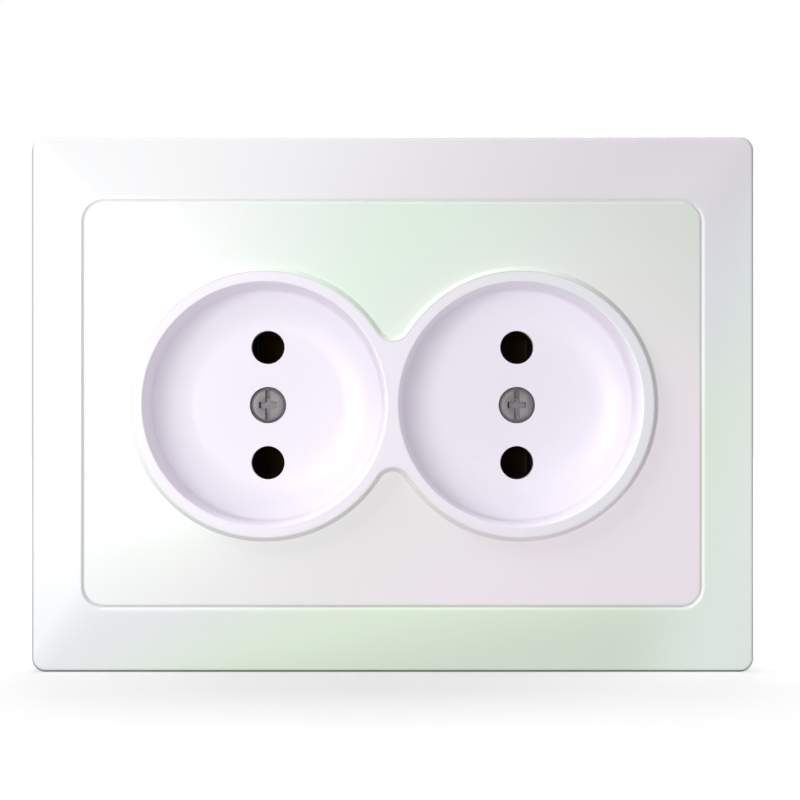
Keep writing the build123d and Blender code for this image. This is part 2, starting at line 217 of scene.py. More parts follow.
def makeScrews(spec, name, body, slotName, node):
    model = makeScrew(spec, name + "Model")
    copies = [placedCopy(model, place, turn) for place, turn in spec["places"]]
    bpy.data.objects.remove(model)
    install(joined(copies, name), body, slotName, node)


outOfWall = (math.pi / 2, 0, 0)        # turns a screw so that its head looks into the room
coverScrew = {
    "headRadius": 0.0029, "headHeight": 0.0019, "headBevel": 0.00048, "bevelSteps": 1, "bevelProfile": 0.5,
    "slotWidth": 0.0009, "slotLength": 0.0048, "slotDepth": 0.0011,
    "armLength": 0.003, "armWidth": 0.001, "armDepth": 0.0011,
    "shankRadius": 0.0015, "pitch": 0.0005, "length": 0.016,
    "places": [((-wellAt, -0.0031, 0), outOfWall), ((wellAt, -0.0031, 0), outOfWall)],
}
clawScrew = {
    "headRadius": 0.0028, "headHeight": 0.0022, "headBevel": 0.0005, "bevelSteps": 4, "bevelProfile": 0.5,
    "slotWidth": 0.0009, "slotLength": 0.009, "slotDepth": 0.001,
    "shankRadius": 0.0015, "pitch": 0.0005, "length": 0.0125,
}
upperClawScrew = dict(clawScrew, places=[((0, -0.001, 0.022584), outOfWall)])
lowerClawScrew = dict(clawScrew, places=[((0, -0.001, -0.022584), outOfWall)])
terminalScrew = {
    "headRadius": 0.003, "headHeight": 0.0018, "headBevel": 0.0006, "bevelSteps": 4, "bevelProfile": 0.5,
    "slotWidth": 0.001, "slotLength": 0.009, "slotDepth": 0.0009,
    "shankRadius": 0.00175, "pitch": 0.0006, "length": 0.006,
    "places": [
        ((-0.013, 0.009, 0.0154), (0, 0, 0)), ((0.013, 0.009, 0.0154), (0, 0, 0)),
        ((-0.013, 0.009, -0.0154), (math.pi, 0, 0)), ((0.013, 0.009, -0.0154), (math.pi, 0, 0)),
    ],
}
makeScrews(coverScrew, "coverScrews", "socket", "cover_screw_steel", "cover_screws")
makeScrews(upperClawScrew, "upperClawScrew", "upper_claw_screw", "plated_steel", "upper_claw_screw")
makeScrews(lowerClawScrew, "lowerClawScrew", "lower_claw_screw", "plated_steel", "lower_claw_screw")
makeScrews(terminalScrew, "terminalScrews", "socket", "plated_steel", "terminal_screws")
print("stage: screws made")


# Pressed and moulded pieces: the CAD form with its sharp edges eased

easing = {
    "merge": 0.000002, "flatAngle": 0.5, "bevelSteps": 2, "bevelAngle": 38, "smoothAngle": 32, "flatWeight": 50,
}
easedEdges = {
    "mounting_strap": {"name": "mountingStrap", "body": "socket", "slot": "zinc_sheet", "width": 0.00018},
    "upper_claw": {"name": "upperClaw", "body": "upper_claw", "slot": "zinc_sheet", "width": 0.00018},
    "lower_claw": {"name": "lowerClaw", "body": "lower_claw", "slot": "zinc_sheet", "width": 0.00018},
    "terminal_clamp_1": {"name": "terminalClamp1", "body": "socket", "slot": "zinc_sheet", "width": 0.00015},
    "terminal_clamp_2": {"name": "terminalClamp2", "body": "socket", "slot": "zinc_sheet", "width": 0.00015},
    "terminal_clamp_3": {"name": "terminalClamp3", "body": "socket", "slot": "zinc_sheet", "width": 0.00015},
    "terminal_clamp_4": {"name": "terminalClamp4", "body": "socket", "slot": "zinc_sheet", "width": 0.00015},
    "base": {"name": "baseBlock", "body": "socket", "slot": "base_plastic", "width": 0.0003},
    "contact_lid": {"name": "contactLid", "body": "socket", "slot": "base_plastic", "width": 0.0002},
    "upper_contact": {"name": "upperContact", "body": "socket", "slot": "contact_brass", "width": 0.0001},
    "lower_contact": {"name": "lowerContact", "body": "socket", "slot": "contact_brass", "width": 0.0001},
    "cover_nuts": {"name": "coverNuts", "body": "socket", "slot": "plated_steel", "width": 0.0002},
    "rivets": {"name": "rivets", "body": "socket", "slot": "plated_steel", "width": 0.0003},
}


def easeEdges(node, spec):
    piece = bpy.data.objects.new(spec["name"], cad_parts[node].data.copy())
    bpy.context.scene.collection.objects.link(piece)
    focus(piece)
    bpy.ops.mesh.customdata_custom_splitnormals_clear()
    bpy.ops.object.mode_set(mode="EDIT")
    bpy.ops.mesh.select_all(action="SELECT")
    bpy.ops.mesh.remove_doubles(threshold=easing["merge"])
    bpy.ops.mesh.dissolve_limited(angle_limit=math.radians(easing["flatAngle"]))
    bpy.ops.object.mode_set(mode="OBJECT")
    addModifier(piece, "BEVEL", width=spec["width"], segments=easing["bevelSteps"], limit_method="ANGLE",
                angle_limit=math.radians(easing["bevelAngle"]), use_clamp_overlap=True)
    addModifier(piece, "WELD", merge_threshold=sameSpot)
    smooth(piece, easing["smoothAngle"])
    # Flat faces shade flat, and the eased edges take up the turn
    addModifier(piece, "WEIGHTED_NORMAL", mode="FACE_AREA", weight=easing["flatWeight"], keep_sharp=True)
    install(piece, spec["body"], spec["slot"], node)


for node, spec in easedEdges.items():
    easeEdges(node, spec)
print("stage: pressed and moulded pieces made")


# Node helpers

def newMaterial(name):
    material = bpy.data.materials.new(name)
    material.use_nodes = True
    nodes = material.node_tree.nodes
    return material, nodes, material.node_tree.links, nodes["Principled BSDF"]


def addNode(nodes, kind, place, **values):
    node = nodes.new(kind)
    node.location = place
    for key, value in values.items():
        setattr(node, key, value)
    return node


def addNoise(nodes, place, values):
    node = addNode(nodes, "ShaderNodeTexNoise", place)
    for key, value in values.items():
        node.inputs[key].default_value = value
    return node


def newGroup(name, inputs, outputs):
    group = bpy.data.node_groups.new(name, "ShaderNodeTree")
    for label, kind, value in inputs:
        socket = group.interface.new_socket(name=label, in_out="INPUT", socket_type=kind)
        socket.default_value = value
    for label, kind in outputs:
        group.interface.new_socket(name=label, in_out="OUTPUT", socket_type=kind)
    start = addNode(group.nodes, "NodeGroupInput", (-900, 0))
    end = addNode(group.nodes, "NodeGroupOutput", (900, 0))
    return group, start, end


def mixColor(nodes, place, blend="MIX"):
    node = addNode(nodes, "ShaderNodeMix", place, data_type="RGBA", blend_type=blend)
    # The node holds a socket for every type of value: these are the factor and the two colours, then the result
    return node.inputs[0], node.inputs[6], node.inputs[7], node.outputs[2]


def paint(material, *names):
    for name in names:
        mesh = shown[name].data
        mesh.materials.clear()
        mesh.materials.append(material)


# Pearl sheen and painted light: a slow sweep of faint hues across a moulding, painted as colour for the pearl
# finish's sheen, with paler, darker and side colours painted in where more or less light falls

tintCloud = {"Scale": 22, "Detail": 1.0}


def makePearlSheenAndLight():
    inputs = [
        ("Vector", "NodeSocketVector", (0, 0, 0)),
        ("Sweep", "NodeSocketVector", (1, 0, 0)),
        ("First At", "NodeSocketFloat", -0.02),
        ("Second At", "NodeSocketFloat", 0.0),
        ("Third At", "NodeSocketFloat", 0.02),
        ("Wander", "NodeSocketFloat", 0.01),
        ("First", "NodeSocketColor", (1, 1, 1, 1)),
        ("Second", "NodeSocketColor", (1, 1, 1, 1)),
        ("Third", "NodeSocketColor", (1, 1, 1, 1)),
        # Pale: painted light, a paler colour on the side the light comes from
        ("Pale Sweep", "NodeSocketVector", (1, 0, 0)),
        ("Pale From", "NodeSocketFloat", -0.06),
        ("Pale To", "NodeSocketFloat", -0.02),
        ("Pale", "NodeSocketColor", (1, 1, 1, 1)),
        # Far: painted light or shade, a colour at the far end of its sweep
        ("Far Sweep", "NodeSocketVector", (1, 0, 0)),
        ("Far From", "NodeSocketFloat", 0.5),
        ("Far To", "NodeSocketFloat", 0.6),
        ("Far", "NodeSocketColor", (1, 1, 1, 1)),
        # Low: painted shade, a darker colour towards the bottom
        ("Low Sweep", "NodeSocketVector", (0, 0, -1)),
        ("Low From", "NodeSocketFloat", 0.5),
        ("Low To", "NodeSocketFloat", 0.6),
        ("Low", "NodeSocketColor", (1, 1, 1, 1)),
        # Side: the colour behind the front skin, which some finishes set lighter or darker as painted light or
        # shade for the sides and hollows
        ("Side", "NodeSocketColor", (1, 1, 1, 1)),
        ("Skin Depth", "NodeSocketFloat", -0.013),
        ("Skin End", "NodeSocketFloat", -0.0117),
    ]
    group, start, end = newGroup("pearlSheenAndLight", inputs, [("Color", "NodeSocketColor")])
    nodes, links = group.nodes, group.links
    along = addNode(nodes, "ShaderNodeVectorMath", (-700, 0), operation="DOT_PRODUCT")
    links.new(start.outputs["Vector"], along.inputs[0])
    links.new(start.outputs["Sweep"], along.inputs[1])
    cloud = addNoise(nodes, (-700, -260), tintCloud)
    links.new(start.outputs["Vector"], cloud.inputs["Vector"])
    centred = addNode(nodes, "ShaderNodeMath", (-540, -260), operation="SUBTRACT")
    centred.inputs[1].default_value = 0.5
    links.new(cloud.outputs["Fac"], centred.inputs[0])
    drift = addNode(nodes, "ShaderNodeMath", (-380, -260), operation="MULTIPLY")
    links.new(centred.outputs[0], drift.inputs[0])
    links.new(start.outputs["Wander"], drift.inputs[1])
    phase = addNode(nodes, "ShaderNodeMath", (-220, -60), operation="ADD")
    links.new(along.outputs["Value"], phase.inputs[0])
    links.new(drift.outputs[0], phase.inputs[1])
    hue = start.outputs["First"]
    for index, (low, high) in enumerate((("First", "Second"), ("Second", "Third"))):
        step = addNode(nodes, "ShaderNodeMapRange", (-40 + 220 * index, -240), interpolation_type="SMOOTHSTEP")
        links.new(phase.outputs[0], step.inputs["Value"])
        links.new(start.outputs[low + " At"], step.inputs["From Min"])
        links.new(start.outputs[high + " At"], step.inputs["From Max"])
        factor, lower, upper, result = mixColor(nodes, (-40 + 220 * index, 60))
        links.new(step.outputs["Result"], factor)
        links.new(hue, lower)
        links.new(start.outputs[high], upper)
        hue = result
    fades = {}
    for index, side in enumerate(("Far", "Low", "Pale")):
        across = addNode(nodes, "ShaderNodeVectorMath", (-700, 300 + 500 * index), operation="DOT_PRODUCT")
        links.new(start.outputs["Vector"], across.inputs[0])
        links.new(start.outputs[side + " Sweep"], across.inputs[1])
        fade = addNode(nodes, "ShaderNodeMapRange", (-380, 300 + 500 * index), interpolation_type="SMOOTHSTEP")
        links.new(across.outputs["Value"], fade.inputs["Value"])
        links.new(start.outputs[side + " From"], fade.inputs["From Min"])
        links.new(start.outputs[side + " To"], fade.inputs["From Max"])
        fades[side] = fade.outputs["Result"]
    for index, side in enumerate(("Low", "Far")):
        factor, lower, upper, result = mixColor(nodes, (300 + 150 * index, 200))
        links.new(fades[side], factor)
        links.new(hue, lower)
        links.new(start.outputs[side], upper)
        hue = result
    parts = addNode(nodes, "ShaderNodeSeparateXYZ", (-540, 500))
    links.new(start.outputs["Vector"], parts.inputs[0])
    front = addNode(nodes, "ShaderNodeMapRange", (-380, 500), interpolation_type="SMOOTHSTEP")
    front.inputs["To Min"].default_value = 1
    front.inputs["To Max"].default_value = 0
    links.new(parts.outputs["Y"], front.inputs["Value"])
    links.new(start.outputs["Skin Depth"], front.inputs["From Min"])
    links.new(start.outputs["Skin End"], front.inputs["From Max"])
    for index, (share, under) in enumerate(((fades["Pale"], "Pale"), (front.outputs["Result"], "Side"))):
        factor, lower, upper, result = mixColor(nodes, (600 + 150 * index, 200))
        links.new(share, factor)
        links.new(start.outputs[under], lower)
        links.new(hue, upper)
        hue = result
    links.new(hue, end.inputs["Color"])
    return group


# Painted edge shade: a narrow band along a round-cornered outline, each side darkened in its own measure, as
# shade painted where less light falls

def makePaintedEdgeShade():
    inputs = [
        ("Vector", "NodeSocketVector", (0, 0, 0)),
        ("Middle", "NodeSocketVector", (0, 0, 0)),
        ("Inner Half", "NodeSocketVector", (0.05, 0, 0.03)),
        ("Shade From", "NodeSocketFloat", 0.002),
        ("Shade To", "NodeSocketFloat", 0.0022),
        ("Back From", "NodeSocketFloat", -0.013),
        ("Back To", "NodeSocketFloat", -0.011),
        ("Tone Sweep", "NodeSocketVector", (0, 0, 1)),
        ("Near At", "NodeSocketFloat", -1.0),
        ("Far At", "NodeSocketFloat", 1.0),
        ("Near Tone", "NodeSocketFloat", 0.5),
        ("Far Tone", "NodeSocketFloat", 1.0),
    ]
    group, start, end = newGroup("paintedEdgeShade", inputs, [("Tone", "NodeSocketFloat")])
    nodes, links = group.nodes, group.links
    centred = addNode(nodes, "ShaderNodeVectorMath", (-860, 200), operation="SUBTRACT")
    links.new(start.outputs["Vector"], centred.inputs[0])
    links.new(start.outputs["Middle"], centred.inputs[1])
    sides = addNode(nodes, "ShaderNodeVectorMath", (-700, 200), operation="ABSOLUTE")
    links.new(centred.outputs["Vector"], sides.inputs[0])
    flat = addNode(nodes, "ShaderNodeVectorMath", (-540, 200), operation="MULTIPLY")
    flat.inputs[1].default_value = (1, 0, 1)
    links.new(sides.outputs["Vector"], flat.inputs[0])
    past = addNode(nodes, "ShaderNodeVectorMath", (-380, 200), operation="SUBTRACT")
    links.new(flat.outputs["Vector"], past.inputs[0])
    links.new(start.outputs["Inner Half"], past.inputs[1])
    outer = addNode(nodes, "ShaderNodeVectorMath", (-220, 200), operation="MAXIMUM")
    outer.inputs[1].default_value = (0, 0, 0)
    links.new(past.outputs["Vector"], outer.inputs[0])
    reach = addNode(nodes, "ShaderNodeVectorMath", (-60, 200), operation="LENGTH")
    links.new(outer.outputs["Vector"], reach.inputs[0])
    band = addNode(nodes, "ShaderNodeMapRange", (100, 200), interpolation_type="SMOOTHSTEP")
    links.new(reach.outputs["Value"], band.inputs["Value"])
    links.new(start.outputs["Shade From"], band.inputs["From Min"])
    links.new(start.outputs["Shade To"], band.inputs["From Max"])
    parts = addNode(nodes, "ShaderNodeSeparateXYZ", (-540, -100))
    links.new(start.outputs["Vector"], parts.inputs[0])
    back = addNode(nodes, "ShaderNodeMapRange", (100, -100), interpolation_type="SMOOTHSTEP")
    back.inputs["To Min"].default_value = 1
    back.inputs["To Max"].default_value = 0
    links.new(parts.outputs["Y"], back.inputs["Value"])
    links.new(start.outputs["Back From"], back.inputs["From Min"])
    links.new(start.outputs["Back To"], back.inputs["From Max"])
    amount = addNode(nodes, "ShaderNodeMath", (300, 100), operation="MULTIPLY")
    links.new(band.outputs["Result"], amount.inputs[0])
    links.new(back.outputs["Result"], amount.inputs[1])
    half = addNode(nodes, "ShaderNodeVectorMath", (-540, -350), operation="SIGN")
    links.new(centred.outputs["Vector"], half.inputs[0])
    signed = addNode(nodes, "ShaderNodeVectorMath", (-380, -350), operation="MULTIPLY")
    links.new(half.outputs["Vector"], signed.inputs[0])
    links.new(outer.outputs["Vector"], signed.inputs[1])
    outward = addNode(nodes, "ShaderNodeVectorMath", (-220, -350), operation="NORMALIZE")
    links.new(signed.outputs["Vector"], outward.inputs[0])
    along = addNode(nodes, "ShaderNodeVectorMath", (-60, -350), operation="DOT_PRODUCT")
    links.new(outward.outputs["Vector"], along.inputs[0])
    links.new(start.outputs["Tone Sweep"], along.inputs[1])
    tone = addNode(nodes, "ShaderNodeMapRange", (100, -350))
    links.new(along.outputs["Value"], tone.inputs["Value"])
    links.new(start.outputs["Near At"], tone.inputs["From Min"])
    links.new(start.outputs["Far At"], tone.inputs["From Max"])
    links.new(start.outputs["Near Tone"], tone.inputs["To Min"])
    links.new(start.outputs["Far Tone"], tone.inputs["To Max"])
    mix = addNode(nodes, "ShaderNodeMix", (500, 0), data_type="FLOAT")
    mix.inputs["A"].default_value = 1
    links.new(amount.outputs[0], mix.inputs["Factor"])
    links.new(tone.outputs["Result"], mix.inputs["B"])
    links.new(mix.outputs["Result"], end.inputs["Tone"])
    return group


# Moulded skin: fine unevenness of a plastic surface, as height and roughness

skinNoise = {"grain": {"Detail": 2}, "cloud": {"Scale": 90, "Detail": 3}}


def makeMouldedSkin():
    inputs = [
        ("Vector", "NodeSocketVector", (0, 0, 0)),
        ("Grain Scale", "NodeSocketFloat", 2500.0),
        ("Rough Low", "NodeSocketFloat", 0.25),
        ("Rough High", "NodeSocketFloat", 0.35),
    ]
    outputs = [("Height", "NodeSocketFloat"), ("Roughness", "NodeSocketFloat")]
    group, start, end = newGroup("mouldedSkin", inputs, outputs)
    nodes, links = group.nodes, group.links
    grain = addNoise(nodes, (-600, 120), skinNoise["grain"])
    links.new(start.outputs["Vector"], grain.inputs["Vector"])
    links.new(start.outputs["Grain Scale"], grain.inputs["Scale"])
    links.new(grain.outputs["Fac"], end.inputs["Height"])
    cloud = addNoise(nodes, (-600, -160), skinNoise["cloud"])
    links.new(start.outputs["Vector"], cloud.inputs["Vector"])
    spread = addNode(nodes, "ShaderNodeMapRange", (-300, -160))
    links.new(cloud.outputs["Fac"], spread.inputs["Value"])
    links.new(start.outputs["Rough Low"], spread.inputs["To Min"])
    links.new(start.outputs["Rough High"], spread.inputs["To Max"])
    links.new(spread.outputs["Result"], end.inputs["Roughness"])
    return group


# Zinc skin: mottled plating with fine rubbing marks along one direction

zincNoise = {
    "marks": {"Scale": 900, "Detail": 4}, "mottle": {"Scale": 260, "Detail": 5}, "darkAt": 0.12, "lightAt": 0.42,
}


def makeZincSkin():
    inputs = [
        ("Vector", "NodeSocketVector", (0, 0, 0)),
        ("Stretch", "NodeSocketVector", (1, 1, 1)),
        ("Light", "NodeSocketColor", (0.7, 0.7, 0.7, 1)),
        ("Dark", "NodeSocketColor", (0.5, 0.5, 0.5, 1)),
        ("Rough Low", "NodeSocketFloat", 0.3),
        ("Rough High", "NodeSocketFloat", 0.5),
    ]
    outputs = [("Color", "NodeSocketColor"), ("Roughness", "NodeSocketFloat"), ("Height", "NodeSocketFloat")]
    group, start, end = newGroup("zincSkin", inputs, outputs)
    nodes, links = group.nodes, group.links
    stretched = addNode(nodes, "ShaderNodeVectorMath", (-700, 0), operation="MULTIPLY")
    links.new(start.outputs["Vector"], stretched.inputs[0])
    links.new(start.outputs["Stretch"], stretched.inputs[1])
    marks = addNoise(nodes, (-500, 160), zincNoise["marks"])
    links.new(stretched.outputs["Vector"], marks.inputs["Vector"])
    links.new(marks.outputs["Fac"], end.inputs["Height"])
    mottle = addNoise(nodes, (-500, -160), zincNoise["mottle"])
    links.new(start.outputs["Vector"], mottle.inputs["Vector"])
    both = addNode(nodes, "ShaderNodeMath", (-300, 0), operation="MULTIPLY")
    links.new(marks.outputs["Fac"], both.inputs[0])
    links.new(mottle.outputs["Fac"], both.inputs[1])
    spread = addNode(nodes, "ShaderNodeMapRange", (-120, 0))
    spread.inputs["From Min"].default_value = zincNoise["darkAt"]
    spread.inputs["From Max"].default_value = zincNoise["lightAt"]
    links.new(both.outputs[0], spread.inputs["Value"])
    factor, lower, upper, result = mixColor(nodes, (100, 120))
    links.new(spread.outputs["Result"], factor)
    links.new(start.outputs["Dark"], lower)
    links.new(start.outputs["Light"], upper)
    links.new(result, end.inputs["Color"])
    rough = addNode(nodes, "ShaderNodeMapRange", (100, -160))
    links.new(mottle.outputs["Fac"], rough.inputs["Value"])
    links.new(start.outputs["Rough Low"], rough.inputs["To Min"])
    links.new(start.outputs["Rough High"], rough.inputs["To Max"])
    links.new(rough.outputs["Result"], end.inputs["Roughness"])
    return group


pearlSheenAndLight = makePearlSheenAndLight()
paintedEdgeShade = makePaintedEdgeShade()
mouldedSkin = makeMouldedSkin()
zincSkin = makeZincSkin()
print("stage: node groups made")


def placeGroup(nodes, group, place, values):
    node = addNode(nodes, "ShaderNodeGroup", place, node_tree=group)
    for key, value in values.items():
        node.inputs[key].default_value = value
    return node


def addBump(nodes, links, height, shader, strength, distance):
    bump = addNode(nodes, "ShaderNodeBump", (-200, -300))
    bump.inputs["Strength"].default_value = strength
    bump.inputs["Distance"].default_value = distance
    links.new(height, bump.inputs["Height"])
    links.new(bump.outputs["Normal"], shader.inputs["Normal"])


def makePearl(name, finish):
    material, nodes, links, shader = newMaterial(name)
    place = addNode(nodes, "ShaderNodeTexCoord", (-900, 0))
    tint = placeGroup(nodes, pearlSheenAndLight, (-600, 200), finish["tint"])
    links.new(place.outputs["Object"], tint.inputs["Vector"])
    color = tint.outputs["Color"]
    # each band multiplies in painted shade along an edge, groove or rim
    for index, setting in enumerate(finish["paintedShades"]):
        paintedShade = placeGroup(nodes, paintedEdgeShade, (-600, 500 + 400 * index), setting)
        links.new(place.outputs["Object"], paintedShade.inputs["Vector"])
        factor, lower, upper, result = mixColor(nodes, (-350 + 150 * index, 400), "MULTIPLY")
        factor.default_value = 1
        links.new(color, lower)
        links.new(paintedShade.outputs["Tone"], upper)
        color = result
    links.new(color, shader.inputs["Base Color"])
    skin = placeGroup(nodes, mouldedSkin, (-600, -200), finish["skin"])
    links.new(place.outputs["Object"], skin.inputs["Vector"])
    links.new(skin.outputs["Roughness"], shader.inputs["Roughness"])
    addBump(nodes, links, skin.outputs["Height"], shader, finish["bump"], finish["bumpDepth"])
    shader.inputs["Coat Weight"].default_value = finish["coat"]
    shader.inputs["Coat Roughness"].default_value = finish["coatRough"]
    return material


framePearl = {
    "tint": {
        # the pearl finish's sheen painted as hues; Pale is painted light on the upper left, Far painted light at
        # the lower right, Low painted shade along the bottom, and Side painted shade on the sides
        "Sweep": (0.44, 0, -0.9), "First At": -0.02, "Second At": 0.008, "Third At": 0.03, "Wander": 0.006,
        "First": (0.785, 0.74, 0.79, 1), "Second": (0.82, 0.835, 0.88, 1), "Third": (0.80, 0.92, 0.76, 1),
        "Pale Sweep": (0.8, 0, -0.6), "Pale From": -0.062, "Pale To": 0.012, "Pale": (0.93, 0.935, 0.945, 1),
        "Far Sweep": (1, 0, -0.25), "Far From": 0.044, "Far To": 0.062, "Far": (0.875, 0.96, 0.895, 1),
        "Low Sweep": (0.15, 0, -1), "Low From": 0.033, "Low To": 0.0435, "Low": (0.725, 0.82, 0.70, 1),
        "Side": (0.82, 0.825, 0.835, 1),
    },
    # painted shade: dark lines along the frame's outer edges, darkest at the bottom, and along the window's
    # groove, on its left side and on its right and bottom sides
    "paintedShades": [
        {
            "Inner Half": (0.0558, 0, 0.0408), "Shade From": 0.0018, "Shade To": 0.002,
            "Back From": -0.0131, "Back To": -0.0126, "Tone Sweep": (0.25, 0, 1),
            "Near Tone": 0.18, "Far Tone": 0.78,
        },
        {
            "Inner Half": windowInner, "Shade From": 0.0037, "Shade To": 0.0035,
            "Tone Sweep": (1, 0, 0), "Far At": 0.0, "Near Tone": 0.76, "Far Tone": 1.0,
        },
        {
            "Inner Half": windowInner, "Shade From": 0.00342, "Shade To": 0.00332,
            "Tone Sweep": (0.7, 0, -0.7), "Near At": 0.0, "Far At": 0.7, "Near Tone": 1.0, "Far Tone": 0.8,
        },
    ],
    "skin": {"Grain Scale": 2600.0, "Rough Low": 0.26, "Rough High": 0.34},
    "bump": 0.05, "bumpDepth": 0.0001, "coat": 0.25, "coatRough": 0.12,
}
platePearl = {
    "tint": {
        # the pearl finish's sheen painted as hues; Pale is painted light on the left and Far painted shade at
        # the upper right
        "Sweep": (0.59, 0, -0.81), "First At": -0.022, "Second At": 0.0137, "Third At": 0.036, "Wander": 0.006,
        "First": (0.775, 0.895, 0.785, 1), "Second": (0.85, 0.83, 0.84, 1), "Third": (0.93, 0.85, 0.915, 1),
        "Pale Sweep": (0.9, 0, -0.43), "Pale From": -0.047, "Pale To": -0.01, "Pale": (0.89, 0.90, 0.905, 1),
        "Far Sweep": (0.6, 0, 0.8), "Far From": 0.028, "Far To": 0.056, "Far": (0.75, 0.79, 0.74, 1),
        "Side": (0.84, 0.845, 0.84, 1),
    },
    # painted shade along the plate's right and bottom edges, in the groove, and on the right well's rim
    "paintedShades": [
        {
            "Inner Half": windowInner, "Shade From": 0.00272, "Shade To": 0.0029,
            "Tone Sweep": (0.7, 0, -0.7), "Near At": 0.0, "Far At": 0.7, "Near Tone": 1.0, "Far Tone": 0.86,
        },
        {       # painted shade on the slope of the right well's rim, on its far side from the light
            "Middle": (wellAt, 0, 0), "Inner Half": (0, 0, 0), "Shade From": 0.0222, "Shade To": 0.02205,
            "Tone Sweep": (0.966, 0, 0.26), "Near At": 0.5, "Far At": 0.85, "Near Tone": 1.0, "Far Tone": 0.77,
        },
    ],
    "skin": {"Grain Scale": 2600.0, "Rough Low": 0.26, "Rough High": 0.34},
    "bump": 0.05, "bumpDepth": 0.0001, "coat": 0.25, "coatRough": 0.12,
}
wellPlastic = {
    "tint": {
        # lavender plastic whose hues darken towards the right as painted shade; Pale is painted light on the
        # left well's collar and wall, and Side paints the well insides lighter as painted light
        "Sweep": (0.9, 0, 0.43), "First At": -0.012, "Second At": 0.006, "Third At": 0.032, "Wander": 0.004,
        "First": (0.905, 0.86, 0.955, 1), "Second": (0.895, 0.85, 0.935, 1), "Third": (0.835, 0.835, 0.885, 1),
        "Pale Sweep": (1, 0, 0), "Pale From": -0.044, "Pale To": -0.037, "Pale": (0.98, 0.96, 0.995, 1),
        "Side": (0.945, 0.9, 0.985, 1), "Skin Depth": -0.0152, "Skin End": -0.0148,
    },
    "paintedShades": [],
    "skin": {"Grain Scale": 2200.0, "Rough Low": 0.34, "Rough High": 0.42},
    "bump": 0.05, "bumpDepth": 0.0001, "coat": 0.1, "coatRough": 0.2,
}


def makeMetal(name, finish):
    material, nodes, links, shader = newMaterial(name)
    place = addNode(nodes, "ShaderNodeTexCoord", (-900, 0))
    skin = placeGroup(nodes, zincSkin, (-600, 0), finish["skin"])
    links.new(place.outputs["Object"], skin.inputs["Vector"])
    links.new(skin.outputs["Color"], shader.inputs["Base Color"])
    links.new(skin.outputs["Roughness"], shader.inputs["Roughness"])
    addBump(nodes, links, skin.outputs["Height"], shader, finish["bump"], finish["bumpDepth"])
    shader.inputs["Metallic"].default_value = finish["metallic"]
    return material


zincSheet = {
    "skin": {
        "Stretch": (1, 1, 0.08), "Light": (0.62, 0.64, 0.66, 1), "Dark": (0.42, 0.43, 0.45, 1),
        "Rough Low": 0.3, "Rough High": 0.5,
    },
    "bump": 0.08, "bumpDepth": 0.0001, "metallic": 1.0,
}
coverScrewSteel = {
    "skin": {
        "Stretch": (1, 1, 0.3), "Light": (0.198, 0.193, 0.198, 1), "Dark": (0.145, 0.141, 0.145, 1),
        "Rough Low": 0.45, "Rough High": 0.6,
    },
    "bump": 0.08, "bumpDepth": 0.0001, "metallic": 0.9,
    # painted light: a lighter steel colour on the chamfer ring round each head's axis
    "axisAt": wellAt, "ringFrom": 0.00238, "ringTo": 0.00246, "ring": (0.32, 0.315, 0.325, 1),
}
platedSteel = {
    "skin": {
        "Stretch": (0.2, 1, 1), "Light": (0.60, 0.60, 0.60, 1), "Dark": (0.40, 0.40, 0.42, 1),
        "Rough Low": 0.28, "Rough High": 0.42,
    },
    "bump": 0.06, "bumpDepth": 0.0001, "metallic": 1.0,
}
contactBrass = {
    "skin": {
        "Stretch": (0.1, 1, 1), "Light": (0.70, 0.50, 0.22, 1), "Dark": (0.46, 0.30, 0.12, 1),
        "Rough Low": 0.25, "Rough High": 0.4,
    },
    "bump": 0.06, "bumpDepth": 0.0001, "metallic": 1.0,
    # tarnish and painted shade: dark brass inside the channel behind the pin holes, bright brass on the terminal
    # tabs
    "tarnishAndShade": (0.11, 0.055, 0.025, 1), "tarnishRough": 0.75, "brightFrom": 0.0117, "brightTo": 0.0122,
}


def makeCoverSteel(name, finish):
    # Painted light: the turned chamfer round each head is given a lighter colour than the head's flat top, to
    # lift it where it would render dark
    material = makeMetal(name, finish)
    nodes, links = material.node_tree.nodes, material.node_tree.links
    shader = nodes["Principled BSDF"]
    place = addNode(nodes, "ShaderNodeTexCoord", (-1300, 500))
    parts = addNode(nodes, "ShaderNodeSeparateXYZ", (-1100, 500))
    links.new(place.outputs["Object"], parts.inputs[0])
    side = addNode(nodes, "ShaderNodeMath", (-940, 500), operation="ABSOLUTE")
    links.new(parts.outputs["X"], side.inputs[0])
    off = addNode(nodes, "ShaderNodeMath", (-780, 500), operation="SUBTRACT")
    off.inputs[1].default_value = finish["axisAt"]
    links.new(side.outputs[0], off.inputs[0])
    flat = addNode(nodes, "ShaderNodeCombineXYZ", (-620, 500))
    links.new(off.outputs[0], flat.inputs["X"])
    links.new(parts.outputs["Z"], flat.inputs["Z"])
    away = addNode(nodes, "ShaderNodeVectorMath", (-460, 500), operation="LENGTH")
    links.new(flat.outputs[0], away.inputs[0])
    ring = addNode(nodes, "ShaderNodeMapRange", (-300, 500))
    ring.inputs["From Min"].default_value = finish["ringFrom"]
    ring.inputs["From Max"].default_value = finish["ringTo"]
    links.new(away.outputs["Value"], ring.inputs["Value"])
    factor, lower, upper, result = mixColor(nodes, (-120, 400))
    links.new(ring.outputs["Result"], factor)
    links.new(shader.inputs["Base Color"].links[0].from_socket, lower)
    upper.default_value = finish["ring"]
    links.new(result, shader.inputs["Base Color"])
    return material


